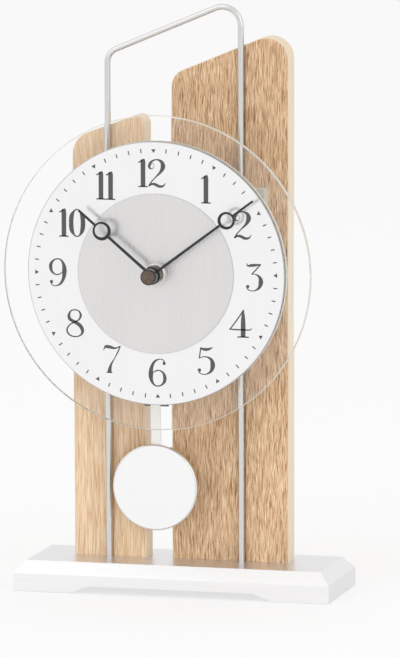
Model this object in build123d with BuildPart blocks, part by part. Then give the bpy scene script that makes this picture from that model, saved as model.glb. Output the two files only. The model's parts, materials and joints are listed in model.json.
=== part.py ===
"""Desk pendulum clock: two upright wood panels, a bent steel rod and a round glass dial on a low
plinth, with a battery movement behind the dial and a pendulum hanging in front of the panels.

Millimetres, Z up, the front faces -Y. The origin lies on the table, under the middle of the clock.
"""

import math
import os

from build123d import *

# Clearances and cuts
RUN = 0.05  # radial clearance of a shaft or screw in its hole
SLIP = 0.3  # gap beside a piece that has to clear its neighbour
OVERRUN = 2.0  # how far a cut runs past the face that it opens

# Plinth, whose middle lies a little behind and beside the middle of the whole clock
BASE_X = 2.4
BASE_Y = 10.0
BASE_WIDTH = 200.0
BASE_DEPTH = 71.0
BASE_HEIGHT = 18.4
BASE_WALL = 11.1  # upright part of its sides, under the bevel
BEVEL_IN = 6.8
ARCH_WIDTH = 134.0
ARCH_FLAT = 98.0
ARCH_RISE = 4.4
PAD_RADIUS = 6.0
PAD_THICK = 1.2
PAD_SHOWS = 0.4
PAD_INSET = 15.0  # from the plinth's sides to the middle of a pad

# Panels: left edge, width, height of the upper left corner, slope of the top and two corner radii
PANEL_THICK = 14.8
PANEL_FORWARD = 1.0  # their front face, in front of the plinth's middle
LEFT_EDGE = 70.0  # left of the plinth's middle
LEFT_WIDTH = 45.9
LEFT_HEIGHT = 278.5
LEFT_SLOPE = 20.3
LEFT_RADII = (14.4, 5.6)
PANEL_GAP = 16.7
RIGHT_WIDTH = 73.8
RIGHT_HEIGHT = 319.0
RIGHT_SLOPE = 22.65
RIGHT_RADII = (11.0, 13.6)
BAND_THICK = 0.5
ACCESS_LEFT = 15.6  # how far the access opening reaches into each panel
ACCESS_RIGHT = 27.4
ACCESS_BELOW = 66.5  # from the dial's axis to its ends
ACCESS_ABOVE = 49.5
ACCESS_RADIUS = 5.0

# Bent rod
ROD_RADIUS = 1.9
ROD_GAP = 0.1  # to the panels' front
ROD_LEFT = 47.4  # left of the plinth's middle
ROD_SPAN = 84.4
ROD_SINK = 12.0
ROD_HEIGHT = 331.7
ROD_SLOPE = 22.9
ROD_BENDS = (9.0, 11.5)
GROOVE_BESIDE = 0.6  # how much wider than the rod the groove behind it is, on each side
GROOVE_DEPTH = 1.4

# Dial axis, glass and dial
DIAL_LEFT = 8.06  # left of the plinth's middle
DIAL_HEIGHT = 200.5
GLASS_RADIUS = 96.7
GLASS_THICK = 4.0
GLASS_EDGE = 0.4
BACKING_RADIUS = 81.0
BACKING_THICK = 3.5
DIAL_RADIUS = 81.0
DIAL_THICK = 1.2
CENTRE_RADIUS = 49.1
CENTRE_THICK = 0.6

# Movement case
CARRIER_DEPTH = 12.0
CARRIER_WIDTH = 14.6
CARRIER_OUT = 62.16  # from the dial's axis to a carrier's outer side
CARRIER_ABOVE = 50.8
CARRIER_BELOW = 36.0
CASE_WIDTH = 82.0
CASE_ABOVE = 65.6
CASE_BELOW = 66.5
CASE_DEPTH = 19.5
CASE_SINK = 4.0  # how far it reaches back between the carriers
CASE_WALL = 2.0
CASE_RADIUS = 3.0
EAR_LENGTH = 20.0
EAR_ABOVE = 34.0
EAR_BELOW = 24.0
EAR_THICK = 2.0
BOSS_RADIUS = 3.4
BOSS_INSET = 5.6  # from the case's outside to the middle of a screw boss

# Centre bushing, washer and nut
BUSH_RADIUS = 4.0
BUSH_FLANGE = 6.0
BUSH_PROUD = 3.6  # in front of the dial
WASHER_RADIUS = 8.7
WASHER_THICK = 0.6
NUT_RADIUS = 6.7
NUT_THICK = 2.2

# Arbors and hands
HOUR_PIPE = 2.5
MINUTE_ARBOR = 1.5
THIN_ARBOR = 0.6
PIVOT_RADIUS = 0.35
MOTION_ARBOR = 0.8
CLUTCH_COLLAR = 1.3
CLUTCH_THICK = 0.3
HOUR_LIFT = 8.9  # from the dial's centre to the back of the hour hand's collet
COLLET_THICK = 0.9
HAND_GAP = 1.1
HAND_THICK = 0.5
HOUR_COLLET = 5.5
MINUTE_COLLET = 4.9
HAND_BOSS_RADIUS = 4.9
HAND_BOSS_DEPTH = 6.0
HAND_BOSS_GRIP = 1.8  # how much of the arbor it takes
HAND_BOSS_EDGE = 0.5
HOUR_LENGTH = 60.0
HOUR_RING_AT = 41.0
HOUR_RING = 5.75
HOUR_HOLE = 4.1
HOUR_HOLE_OUT = 0.5
HOUR_STEM = (1.9, 1.5)
HOUR_ANGLE = 310.2
MINUTE_LENGTH = 80.0
MINUTE_RING_AT = 59.2
MINUTE_RING = 5.4
MINUTE_HOLE = 3.8
MINUTE_HOLE_OUT = 0.3
MINUTE_STEM = (1.8, 1.3)
MINUTE_ANGLE = 53.3

# Gears: teeth and modules, wheel first, and where the arbors stand from one another
CENTRE_TEETH, THIRD_PINION_TEETH, CENTRE_MODULE = 45, 6, 0.36
THIRD_TEETH, SECOND_PINION_TEETH, THIRD_MODULE = 48, 6, 0.30
SECOND_TEETH, STEP_PINION_TEETH, SECOND_MODULE = 45, 6, 0.30
STEP_TEETH, ROTOR_TEETH, STEP_MODULE = 24, 6, 0.30
MOTION_TEETH, CANNON_TEETH, CANNON_MODULE = 30, 10, 0.50
HOUR_TEETH, MOTION_PINION_TEETH, HOUR_MODULE = 32, 8, 0.50
THIRD_BEARING = 120.0
SECOND_BEARING = 60.0
STEP_BEARING = 0.0
ROTOR_BEARING = -60.0
MOTION_BEARING = 0.0
WHEEL_THICK = 1.0
PINION_THICK = 1.5
TOOTH_RADIUS_SHARES = (-1.15, 0.1, 0.6, 0.85)  # of a module, from the pitch circle
WHEEL_HALF_SHARES = (0.86, 0.70, 0.45, 0.20)  # of a module, half a tooth at each radius
PINION_RADIUS_SHARES = (-1.15, 0.0, 0.4, 0.65)
PINION_HALF_SHARES = (0.38, 0.60, 0.45, 0.20)

# Depths inside the case, counted back from the inside of its front wall
HOUR_LAYER = 0.3
MOTION_LAYER = 2.1
FRONT_PLATE_AT = 4.0
PLATE_THICK = 1.2
LAYER_A = 5.9
LAYER_B = 7.7
LAYER_C = 9.5
REAR_PLATE_AT = 12.9
PLATE_LEFT = 15.0  # from the dial's axis to the plates' sides
PLATE_RIGHT = 21.0
PLATE_BELOW = 9.0
PLATE_ABOVE = 24.0
PLATE_RADIUS = 2.5
PILLAR_RADIUS = 1.8
PILLAR_INSET = 2.6
MAGNET_RADIUS = 2.2
MAGNET_THICK = 2.2

# Motor, board and battery
STATOR_THICK = 0.8
STATOR_AT = 10.9
STATOR_LEFT = 6.0
STATOR_RIGHT = 36.0
STATOR_ARM = 3.4
STATOR_BELOW = 7.2
STATOR_HIGH = 28.0
STATOR_POST = 1.4
COIL_RADIUS = 3.8
COIL_LENGTH = 10.0
BOARD_LEFT = 36.0
BOARD_WIDTH = 18.0
BOARD_BELOW = 10.0
BOARD_HEIGHT = 36.0
BOARD_THICK = 1.2
BOARD_POST = 2.2
CHIP_SIZE = 7.0
CHIP_THICK = 1.6
BATTERY_RADIUS = 7.25
BATTERY_LENGTH = 49.5
BATTERY_NUB = (2.75, 1.0)
BATTERY_BELOW = 55.5  # under the dial's axis
CONTACT_THICK = 0.5
CONTACT_SIZE = 10.0
LID_WIDTH = 58.0
LID_HEIGHT = 16.0
LID_TAB = 3.5
LID_TAB_THICK = 0.8
LID_TAB_REACH = 1.5  # under the edge of the opening
LID_RIB = 0.8
LID_RIB_PROUD = 0.4
KNOB_RADIUS = 6.0
KNOB_THICK = 3.0
KNOB_FLUTES = 12
KNOB_FLUTE = 0.7
KNOB_GAP = 0.5

# Pendulum
PENDULUM_LEFT = 15.9  # left of the plinth's middle
PIVOT_DROP = 12.5  # below the dial's axis
PIN_RADIUS = 1.0
HANGER_GAP = 0.5  # between the case and what swings behind it
HANGER_WIDTH = 8.0
HANGER_THICK = 1.1
HANGER_LENGTH = 48.0
DRIVE_MAGNET = 3.5
DRIVE_MAGNET_AT = 28.0  # below the pivot
DRIVE_MAGNET_THICK = 1.2
DRIVE_COIL = 6.0
DRIVE_COIL_HOLE = 2.0
DRIVE_COIL_THICK = 5.0
STRIP_WIDTH = 6.2
STRIP_THICK = 0.8
STRIP_LAP = 14.0  # along the hanger
RIVET_RADIUS = 0.8
RIVET_HEAD = 0.5
BOB_RADIUS = 26.8
BOB_THICK = 3.6
BOB_HEIGHT = 64.2
BOB_BEVEL = 0.7
CLIP_WIDTH = 14.0
CLIP_HEIGHT = 18.0
CLIP_THICK = 1.0
GUARD_WIDTH = 15.2
GUARD_THICK = 1.0
GUARD_BELOW = 86.3  # from the dial's axis to its lower end
GUARD_GAP = 0.7
GUARD_RISE = 8.0  # above the pivot
GUARD_TAB = 9.0
GUARD_SLOT = 9.0

# Fasteners: shank radius, head radius, head depth and length
WOOD_SCREW = (2.0, 4.0, 2.4, 34.0)
WOOD_HEAD_SINK = 5.4  # deeper than the foot arch
WOOD_SCREW_INSET = 10.0
CARRIER_SCREW = (1.6, 3.2, 1.8, 21.0)
CARRIER_SCREW_RISES = (-24.0, 40.0)  # from the dial's axis
EAR_SCREW = (1.3, 2.6, 1.6, 9.0)
EAR_SCREW_RISES = (-14.0, 24.0)
CASE_SCREW = (1.1, 2.2, 1.3, 11.0)
GUARD_SCREW = (0.9, 1.8, 0.6, 2.4)

# Places worked out from those sizes
BASE_BOTTOM = PAD_SHOWS
BASE_TOP = BASE_BOTTOM + BASE_HEIGHT
PANEL_FRONT = BASE_Y - PANEL_FORWARD
PANEL_BACK = PANEL_FRONT + PANEL_THICK
LEFT_X = BASE_X - LEFT_EDGE
LEFT_END_X = LEFT_X + LEFT_WIDTH
RIGHT_X = LEFT_END_X + PANEL_GAP
RIGHT_END_X = RIGHT_X + RIGHT_WIDTH
ROD_Y = PANEL_FRONT - ROD_GAP - ROD_RADIUS
ROD_XS = (BASE_X - ROD_LEFT, BASE_X - ROD_LEFT + ROD_SPAN)
DIAL_X = BASE_X - DIAL_LEFT
DIAL_Z = DIAL_HEIGHT
PIVOT_HEIGHT = DIAL_Z - PIVOT_DROP
CARRIER_FRONT = PANEL_FRONT - CARRIER_DEPTH
CARRIER_XS = tuple(DIAL_X + side * (CARRIER_OUT - CARRIER_WIDTH / 2) for side in (-1, 1))
CASE_BACK = CARRIER_FRONT + CASE_SINK
CASE_FRONT = CASE_BACK - CASE_DEPTH
CASE_INSIDE = CASE_FRONT + CASE_WALL
CASE_MIDDLE_Z = DIAL_Z + (CASE_ABOVE - CASE_BELOW) / 2
CASE_HEIGHT = CASE_ABOVE + CASE_BELOW
GLASS_BACK = CASE_FRONT - BACKING_THICK
GLASS_FRONT = GLASS_BACK - GLASS_THICK
DIAL_FRONT = GLASS_FRONT - DIAL_THICK
CENTRE_FRONT = DIAL_FRONT - CENTRE_THICK
BUSH_FRONT = CENTRE_FRONT - BUSH_PROUD
HOUR_BACK = CENTRE_FRONT - HOUR_LIFT
HOUR_FRONT = HOUR_BACK - COLLET_THICK
MINUTE_BACK = HOUR_FRONT - HAND_GAP
MINUTE_FRONT = MINUTE_BACK - COLLET_THICK
ARBOR_FRONT = MINUTE_FRONT - HAND_BOSS_GRIP
PENDULUM_X = BASE_X - PENDULUM_LEFT
STRIP_FRONT = CASE_BACK + HANGER_GAP + DRIVE_MAGNET_THICK - STRIP_THICK
STRIP_BACK = STRIP_FRONT + STRIP_THICK
HANGER_BACK = STRIP_BACK + HANGER_THICK
GUARD_FRONT = HANGER_BACK + GUARD_GAP
BATTERY_Z = DIAL_Z - BATTERY_BELOW
BATTERY_Y = CASE_INSIDE + BATTERY_RADIUS + SLIP


def upright(x, y, z):
    """A plane that faces the front: its own x is X, its own y is Z, and it extrudes towards -Y."""
    return Plane(origin=(x, y, z), x_dir=(1, 0, 0), z_dir=(0, -1, 0))


def on_dial(y):
    """The upright plane at depth y whose origin lies on the dial's axis."""
    return upright(DIAL_X, y, DIAL_Z)


def keep(block, name):
    """Labels a finished piece and writes it as a STEP file."""
    block.part.label = name
    export_step(block.part, f"parts/{name}.step")


def screw(plane, size, places):
    """Countersunk screws whose heads lie flush with the plane and whose shanks go behind it."""
    shank, head, head_depth, length = size
    with BuildSketch(plane) as shanks:
        with Locations(*places):
            Circle(shank)
    extrude(shanks.sketch, amount=-length)
    for place in places:
        with Locations(plane * Pos(*place) * Pos(0, 0, -head_depth / 2)):
            Cone(shank, head, head_depth)


def screw_hole(plane, size, places, length):
    """Clearance holes for such screws, with room for their heads."""
    shank, head, head_depth, _ = size
    with BuildSketch(plane) as holes:
        with Locations(*places):
            Circle(shank + RUN)
    extrude(holes.sketch, amount=-length, mode=Mode.SUBTRACT)
    for place in places:
        with Locations(plane * Pos(*place) * Pos(0, 0, -head_depth / 2)):
            Cone(shank + RUN, head + RUN, head_depth, mode=Mode.SUBTRACT)


os.makedirs("parts", exist_ok=True)

# Plinth
base_corners = [
    (BASE_X + side * (BASE_WIDTH / 2 - PAD_INSET), BASE_Y + end * (BASE_DEPTH / 2 - PAD_INSET))
    for side in (-1, 1)
    for end in (-1, 1)
]
foot_screw_places = [
    (x, PANEL_FRONT + PANEL_THICK / 2)
    for left, right in ((LEFT_X, LEFT_END_X), (RIGHT_X, RIGHT_END_X))
    for x in (left + WOOD_SCREW_INSET, right - WOOD_SCREW_INSET)
]
# Seen from below, the sketch's own y is turned over.
FOOT_PLANE = Plane(origin=(0, 0, BASE_BOTTOM), x_dir=(1, 0, 0), z_dir=(0, 0, -1))
SCREW_PLANE = FOOT_PLANE.offset(-WOOD_HEAD_SINK)
foot_screw_points = [(x, -y) for x, y in foot_screw_places]

with BuildPart() as base:
    with BuildSketch(Plane.XY.offset(BASE_BOTTOM)):
        with Locations((BASE_X, BASE_Y)):
            Rectangle(BASE_WIDTH, BASE_DEPTH)
    extrude(amount=BASE_WALL)
    bevel_rise = BASE_HEIGHT - BASE_WALL
    with BuildSketch(Plane.XY.offset(BASE_BOTTOM + BASE_WALL)):
        with Locations((BASE_X, BASE_Y)):
            Rectangle(BASE_WIDTH, BASE_DEPTH)
    extrude(amount=bevel_rise, taper=math.degrees(math.atan(BEVEL_IN / bevel_rise)))
    # The foot arch, whose ends rise in a soft S
    with BuildSketch(upright(BASE_X, BASE_Y, BASE_BOTTOM)):
        with BuildLine():
            rise = Spline(
                (ARCH_WIDTH / 2, 0),
                (ARCH_FLAT / 2, ARCH_RISE),
                tangents=((-1, 0), (-1, 0)),
            )
            mirror(rise, about=Plane.YZ)
            Line((-ARCH_FLAT / 2, ARCH_RISE), (ARCH_FLAT / 2, ARCH_RISE))
            Line((-ARCH_WIDTH / 2, 0), (ARCH_WIDTH / 2, 0))
        make_face()
    extrude(amount=BASE_DEPTH / 2 + OVERRUN, both=True, mode=Mode.SUBTRACT)
    # Seats of the felt pads, of the rod's feet and of the screws that hold the panels
    with BuildSketch(Plane.XY.offset(BASE_BOTTOM)):
        with Locations(*base_corners):
            Circle(PAD_RADIUS + RUN)
    extrude(amount=PAD_THICK - PAD_SHOWS, mode=Mode.SUBTRACT)
    with BuildSketch(Plane.XY.offset(BASE_TOP)):
        with Locations(*[(x, ROD_Y) for x in ROD_XS]):
            Circle(ROD_RADIUS + RUN)
    extrude(amount=-ROD_SINK - RUN, mode=Mode.SUBTRACT)
    with BuildSketch(FOOT_PLANE):
        with Locations(*foot_screw_points):
            Circle(WOOD_SCREW[1] + RUN)
    extrude(amount=-WOOD_HEAD_SINK, mode=Mode.SUBTRACT)
    screw_hole(SCREW_PLANE, WOOD_SCREW, foot_screw_points, BASE_HEIGHT)
keep(base, "base")

with BuildPart() as felt_pads:
    with BuildSketch():
        with Locations(*base_corners):
            Circle(PAD_RADIUS)
    extrude(amount=PAD_THICK)
keep(felt_pads, "felt_pads")

with BuildPart() as panel_screws:
    screw(SCREW_PLANE, WOOD_SCREW, foot_screw_points)
keep(panel_screws, "panel_screws")


# Panels and their edge bands
def panel_face(left, width, height, slope, radii, bottom):
    """The face of a panel: square foot, slanted top and two rounded upper corners."""
    right = left + width
    high = height + width * math.tan(math.radians(slope))
    with BuildLine() as outline:
        FilletPolyline(
            (left, bottom), (left, height), (right, high), (right, bottom), radius=list(radii)
        )
        Line((right, bottom), (left, bottom))
    make_face(outline.edges())


def access_cut():
    """The opening in both panels through which a hand reaches the back of the movement."""
    left = LEFT_END_X - ACCESS_LEFT
    right = RIGHT_X + ACCESS_RIGHT
    middle_z = DIAL_Z + (ACCESS_ABOVE - ACCESS_BELOW) / 2
    with BuildSketch(upright((left + right) / 2, PANEL_BACK + OVERRUN, middle_z)) as opening:
        RectangleRounded(right - left, ACCESS_ABOVE + ACCESS_BELOW, ACCESS_RADIUS)
    extrude(opening.sketch, amount=PANEL_THICK + 2 * OVERRUN, mode=Mode.SUBTRACT)


def rod_grooves():
    """The upright grooves in the panels' fronts, one behind each leg of the rod."""
    with BuildSketch(upright(0, PANEL_FRONT + GROOVE_DEPTH, ROD_HEIGHT)) as grooves:
        with Locations(*[(x, 0) for x in ROD_XS]):
            Rectangle(2 * (ROD_RADIUS + GROOVE_BESIDE), 2 * ROD_HEIGHT)
    extrude(grooves.sketch, amount=GROOVE_DEPTH + OVERRUN, mode=Mode.SUBTRACT)


BACK_PLANE = Plane(origin=(0, PANEL_BACK, 0), x_dir=(-1, 0, 0), z_dir=(0, 1, 0))
carrier_screw_points = [
    (-x, DIAL_Z + rise) for x in CARRIER_XS for rise in CARRIER_SCREW_RISES
]
PANELS = {
    "left": (LEFT_X, LEFT_WIDTH, LEFT_HEIGHT, LEFT_SLOPE, LEFT_RADII),
    "right": (RIGHT_X, RIGHT_WIDTH, RIGHT_HEIGHT, RIGHT_SLOPE, RIGHT_RADII),
}
for side, shape in PANELS.items():
    # The board runs down by the band's thickness before it shrinks, so that its foot stays put.
    with BuildSketch(upright(0, PANEL_BACK, 0)) as core:
        panel_face(*shape, BASE_TOP - BAND_THICK)
        offset(amount=-BAND_THICK)
    with BuildSketch(upright(0, PANEL_BACK, 0)) as whole:
        panel_face(*shape, BASE_TOP)
    with BuildPart() as panel:
        extrude(core.sketch, amount=PANEL_THICK)
        access_cut()
        rod_grooves()
        screw_hole(SCREW_PLANE, WOOD_SCREW, foot_screw_points, WOOD_SCREW[3] + RUN)
        screw_hole(BACK_PLANE, CARRIER_SCREW, carrier_screw_points, PANEL_THICK + OVERRUN)
    keep(panel, f"{side}_panel")
    with BuildPart() as band:
        extrude(whole.sketch, amount=PANEL_THICK)
        extrude(core.sketch, amount=PANEL_THICK, mode=Mode.SUBTRACT)
        access_cut()
        rod_grooves()
    keep(band, f"{side}_edge_band")

# Bent rod
with BuildPart() as wire_frame:
    low = BASE_TOP - ROD_SINK
    with BuildLine(upright(0, ROD_Y, 0)):
        FilletPolyline(
            (ROD_XS[0], low),
            (ROD_XS[0], ROD_HEIGHT),
            (ROD_XS[1], ROD_HEIGHT + ROD_SPAN * math.tan(math.radians(ROD_SLOPE))),
            (ROD_XS[1], low),
            radius=list(ROD_BENDS),
        )
    with BuildSketch(Plane(origin=(ROD_XS[0], ROD_Y, low))):
        Circle(ROD_RADIUS)
    sweep()
keep(wire_frame, "wire_frame")

# Carriers: the two blocks on the panels that hold the movement case
carrier_z = DIAL_Z + (CARRIER_ABOVE - CARRIER_BELOW) / 2
ear_screw_places = [(x, DIAL_Z + rise) for x in CARRIER_XS for rise in EAR_SCREW_RISES]
EAR_PLANE = upright(0, CARRIER_FRONT - EAR_THICK, 0)
for side, carrier_x in zip(("left", "right"), CARRIER_XS):
    with BuildPart() as carrier:
        with BuildSketch(upright(carrier_x, PANEL_FRONT, carrier_z)):
            Rectangle(CARRIER_WIDTH, CARRIER_ABOVE + CARRIER_BELOW)
        extrude(amount=CARRIER_DEPTH)
        screw_hole(BACK_PLANE, CARRIER_SCREW, carrier_screw_points, CARRIER_SCREW[3] + RUN)
        screw_hole(EAR_PLANE, EAR_SCREW, ear_screw_places, EAR_SCREW[3] + RUN)
    keep(carrier, f"{side}_carrier")

with BuildPart() as carrier_screws:
    screw(BACK_PLANE, CARRIER_SCREW, carrier_screw_points)
keep(carrier_screws, "carrier_screws")

with BuildPart() as ear_screws:
    screw(EAR_PLANE, EAR_SCREW, ear_screw_places)
keep(ear_screws, "ear_screws")


# Movement case
def case_face(inset):
    """The case's rounded outline, drawn in by inset, on whatever plane the sketch lies."""
    RectangleRounded(CASE_WIDTH - 2 * inset, CASE_HEIGHT - 2 * inset, CASE_RADIUS - inset / 2)


def arbor_place(start, module, teeth_a, teeth_b, bearing):
    """Where an arbor stands whose wheel or pinion meshes with the one at start."""
    reach = module * (teeth_a + teeth_b) / 2
    angle = math.radians(bearing)
    return (start[0] + reach * math.cos(angle), start[1] + reach * math.sin(angle))


CENTRE_AT = (0, 0)
THIRD_AT = arbor_place(
    CENTRE_AT, CENTRE_MODULE, CENTRE_TEETH, THIRD_PINION_TEETH, THIRD_BEARING
)
SECOND_AT = arbor_place(
    THIRD_AT, THIRD_MODULE, THIRD_TEETH, SECOND_PINION_TEETH, SECOND_BEARING
)
STEP_AT = arbor_place(
    SECOND_AT, SECOND_MODULE, SECOND_TEETH, STEP_PINION_TEETH, STEP_BEARING
)
ROTOR_AT = arbor_place(STEP_AT, STEP_MODULE, STEP_TEETH, ROTOR_TEETH, ROTOR_BEARING)
MOTION_AT = arbor_place(
    CENTRE_AT, CANNON_MODULE, MOTION_TEETH, CANNON_TEETH, MOTION_BEARING
)
THIN_PLACES = (THIRD_AT, SECOND_AT, STEP_AT, ROTOR_AT)

case_rise = CASE_MIDDLE_Z - DIAL_Z
boss_places = [
    (side * (CASE_WIDTH / 2 - BOSS_INSET), case_rise + end * (CASE_HEIGHT / 2 - BOSS_INSET))
    for side in (-1, 1)
    for end in (-1, 1)
]
pillar_places = [
    (-PLATE_LEFT + PILLAR_INSET, -PLATE_BELOW + PILLAR_INSET),
    (PLATE_RIGHT - PILLAR_INSET, -PLATE_BELOW + PILLAR_INSET),
    (-PLATE_LEFT + PILLAR_INSET, PLATE_ABOVE - PILLAR_INSET),
    (PLATE_RIGHT - PILLAR_INSET, PLATE_ABOVE - PILLAR_INSET),
]
board_x = -BOARD_LEFT + BOARD_WIDTH / 2
board_z = -BOARD_BELOW + BOARD_HEIGHT / 2
board_post_places = [
    (board_x, board_z + end * (BOARD_HEIGHT / 2 - 2 * BOARD_POST)) for end in (-1, 1)
]
stator_low_z = STATOR_BELOW + STATOR_ARM
stator_high_z = STATOR_HIGH - STATOR_ARM / 2
stator_high_x = STATOR_RIGHT - 2 * STATOR_ARM
stator_post_places = [(stator_high_x, stator_low_z), (stator_high_x - STATOR_ARM, stator_high_z)]
BOARD_AT = LAYER_A  # depth of the board's front, from the inside of the front wall
CASE_SEAM = CARRIER_FRONT
SCREW_BACK = Plane(origin=(DIAL_X, CASE_BACK, DIAL_Z), x_dir=(-1, 0, 0), z_dir=(0, 1, 0))
case_screw_points = [(-x, z) for x, z in boss_places]
rib_x = (BATTERY_LENGTH + BATTERY_NUB[1]) / 2 + CONTACT_THICK + CASE_WALL / 2

with BuildPart() as front_shell:
    with BuildSketch(upright(DIAL_X, CASE_SEAM, CASE_MIDDLE_Z)):
        case_face(0)
    extrude(amount=CASE_SEAM - CASE_FRONT)
    with BuildSketch(upright(DIAL_X, CASE_SEAM, CASE_MIDDLE_Z)):
        case_face(CASE_WALL)
    extrude(amount=CASE_SEAM - CASE_INSIDE, mode=Mode.SUBTRACT)
    # Ears that lie on the carriers
    with BuildSketch(upright(DIAL_X, CASE_SEAM, DIAL_Z + (EAR_ABOVE - EAR_BELOW) / 2)):
        for side in (-1, 1):
            with Locations((side * (CASE_WIDTH / 2 + EAR_LENGTH / 2 - CASE_WALL / 2), 0)):
                Rectangle(EAR_LENGTH + CASE_WALL, EAR_ABOVE + EAR_BELOW)
    extrude(amount=EAR_THICK)
    # Bosses for the case screws, posts for plate, board and stator, and ribs at the battery
    with BuildSketch(on_dial(CASE_INSIDE)):
        with Locations(*boss_places):
            Circle(BOSS_RADIUS)
    extrude(amount=CASE_INSIDE - CASE_SEAM)
    with BuildSketch(on_dial(CASE_INSIDE)):
        with Locations(*pillar_places):
            Circle(PILLAR_RADIUS)
    extrude(amount=-FRONT_PLATE_AT)
    with BuildSketch(on_dial(CASE_INSIDE)):
        with Locations(*board_post_places):
            Circle(BOARD_POST)
    extrude(amount=-BOARD_AT)
    with BuildSketch(on_dial(CASE_INSIDE)):
        with Locations(*stator_post_places):
            Circle(STATOR_POST)
    extrude(amount=-STATOR_AT)
    with BuildSketch(on_dial(CASE_INSIDE)):
        with Locations(*[(side * rib_x, -BATTERY_BELOW) for side in (-1, 1)]):
            Rectangle(CASE_WALL, CONTACT_SIZE)
    extrude(amount=-2 * BATTERY_RADIUS)
    # Hole of the centre bushing, with a seat for its flange, and the front pivot of the motion work
    with BuildSketch(on_dial(CASE_INSIDE)):
        Circle(BUSH_RADIUS + RUN)
    extrude(amount=CASE_WALL + OVERRUN, mode=Mode.SUBTRACT)
    with BuildSketch(on_dial(CASE_INSIDE)):
        Circle(BUSH_FLANGE + RUN)
    extrude(amount=CASE_WALL / 2, mode=Mode.SUBTRACT)
    with BuildSketch(on_dial(CASE_INSIDE)):
        with Locations(MOTION_AT):
            Circle(PIVOT_RADIUS + RUN)
    extrude(amount=CASE_WALL / 2, mode=Mode.SUBTRACT)
    screw_hole(SCREW_BACK, CASE_SCREW, case_screw_points, CASE_SCREW[3] + RUN)
    screw_hole(EAR_PLANE, EAR_SCREW, ear_screw_places, EAR_THICK + OVERRUN)
keep(front_shell, "front_shell")

pin_place = (PENDULUM_X - DIAL_X, PIVOT_HEIGHT - DIAL_Z)
guard_screw_rise = PIVOT_HEIGHT + GUARD_RISE + GUARD_THICK + GUARD_TAB / 2 - DIAL_Z
guard_screw_places = [
    (pin_place[0] + side * GUARD_WIDTH / 4, guard_screw_rise) for side in (-1, 1)
]
lid_place = (0, -BATTERY_BELOW)
with BuildPart() as rear_shell:
    with BuildSketch(upright(DIAL_X, CASE_BACK, CASE_MIDDLE_Z)):
        case_face(0)
    extrude(amount=CASE_BACK - CASE_SEAM)
    with BuildSketch(upright(DIAL_X, CASE_BACK - CASE_WALL, CASE_MIDDLE_Z)):
        case_face(CASE_WALL)
    extrude(amount=CASE_SINK, mode=Mode.SUBTRACT)
    with BuildSketch(on_dial(CASE_BACK - CASE_WALL)):
        with Locations(*boss_places):
            Circle(BOSS_RADIUS)
    extrude(amount=CASE_SINK - CASE_WALL)
    # Battery opening, knob arbor and pendulum pin
    with BuildSketch(on_dial(CASE_BACK + OVERRUN)):
        with Locations(lid_place):
            Rectangle(LID_WIDTH, LID_HEIGHT)
        with Locations(MOTION_AT):
            Circle(MOTION_ARBOR + RUN)
        with Locations(pin_place):
            Circle(PIN_RADIUS)
    extrude(amount=CASE_WALL + 2 * OVERRUN, mode=Mode.SUBTRACT)
    screw_hole(SCREW_BACK, CASE_SCREW, case_screw_points, CASE_SINK + OVERRUN)
    with BuildSketch(on_dial(CASE_BACK)):
        with Locations(*guard_screw_places):
            Circle(GUARD_SCREW[0] + RUN)
    extrude(amount=CASE_WALL, mode=Mode.SUBTRACT)
keep(rear_shell, "rear_shell")

with BuildPart() as case_screws:
    screw(SCREW_BACK, CASE_SCREW, case_screw_points)
keep(case_screws, "case_screws")

with BuildPart() as battery_lid:
    with BuildSketch(on_dial(CASE_BACK)):
        with Locations(lid_place):
            Rectangle(LID_WIDTH - 2 * SLIP, LID_HEIGHT - 2 * SLIP)
    extrude(amount=CASE_WALL)
    # Two hooks and a latch that reach under the opening's edge, and grip ribs beside the latch
    hook_x = LID_WIDTH / 2 - LID_TAB / 2 + LID_TAB_REACH
    with BuildSketch(on_dial(CASE_BACK - CASE_WALL)):
        with Locations(*[(-hook_x, lid_place[1] + end * LID_HEIGHT / 4) for end in (-1, 1)]):
            Rectangle(LID_TAB, LID_TAB)
        with Locations((hook_x, lid_place[1])):
            Rectangle(LID_TAB, LID_HEIGHT / 2)
    extrude(amount=LID_TAB_THICK)
    with BuildSketch(on_dial(CASE_BACK)):
        with Locations(*[(LID_WIDTH / 2 - step * 2 * LID_TAB_REACH, lid_place[1]) for step in (1, 2)]):
            Rectangle(LID_RIB, LID_HEIGHT / 2)
    extrude(amount=-LID_RIB_PROUD)
keep(battery_lid, "battery_lid")

with BuildPart() as battery:
    cell_middle = DIAL_X - BATTERY_NUB[1] / 2
    with BuildSketch(Plane.YZ.offset(cell_middle)):
        with Locations((BATTERY_Y, BATTERY_Z)):
            Circle(BATTERY_RADIUS)
    extrude(amount=BATTERY_LENGTH / 2, both=True)
    with BuildSketch(Plane.YZ.offset(cell_middle + BATTERY_LENGTH / 2)):
        with Locations((BATTERY_Y, BATTERY_Z)):
            Circle(BATTERY_NUB[0])
    extrude(amount=BATTERY_NUB[1])
keep(battery, "battery")

with BuildPart() as battery_contacts:
    for side in (-1, 1):
        contact_x = DIAL_X + side * (rib_x - CASE_WALL / 2 - CONTACT_THICK / 2)
        with Locations((contact_x, BATTERY_Y, BATTERY_Z)):
            Box(CONTACT_THICK, CONTACT_SIZE, CONTACT_SIZE)
keep(battery_contacts, "battery_contacts")


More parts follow.
